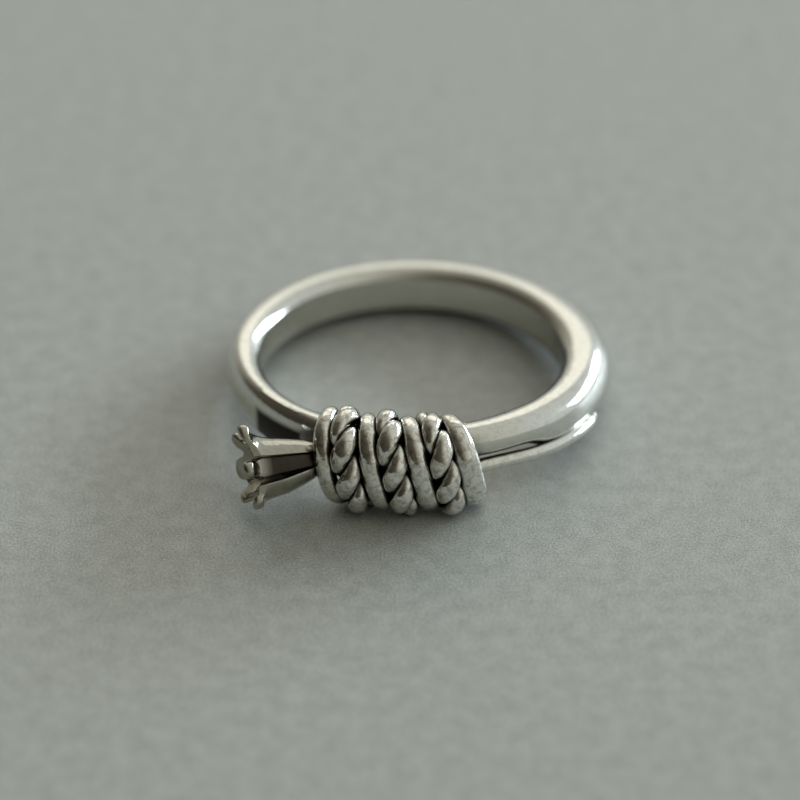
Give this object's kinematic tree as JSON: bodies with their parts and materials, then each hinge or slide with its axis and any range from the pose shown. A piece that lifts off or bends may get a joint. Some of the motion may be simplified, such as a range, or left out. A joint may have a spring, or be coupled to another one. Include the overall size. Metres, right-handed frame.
{
  "type": "finger ring",
  "caption": "Silver finger ring whose split shank ends in a slim stem with a flared bud, lashed alongside the band by plain and twisted wire.",
  "frame": {"origin": "centre of the finger hole, at half the band's height", "axes": "+Z along the finger hole's axis, -Y towards the lashing at the front, -X the way the bud opens"},
  "size_m": [0.0222, 0.0255, 0.006],
  "materials": {
    "shank_silver": "polished silver, darkened in the grooves",
    "lashing_silver": "polished silver, darkened in the grooves",
    "bud_silver": "polished silver, darkened in the grooves"
  },
  "bodies": {
    "root": {"shank": "shank_silver", "stem": "shank_silver", "plain_lashing_wire": "lashing_silver", "rope_strand_a": "lashing_silver", "rope_strand_b": "lashing_silver", "petal_1": "bud_silver", "petal_2": "bud_silver", "petal_3": "bud_silver", "petal_4": "bud_silver", "petal_5": "bud_silver", "petal_6": "bud_silver"}
  },
  "joints": []
}
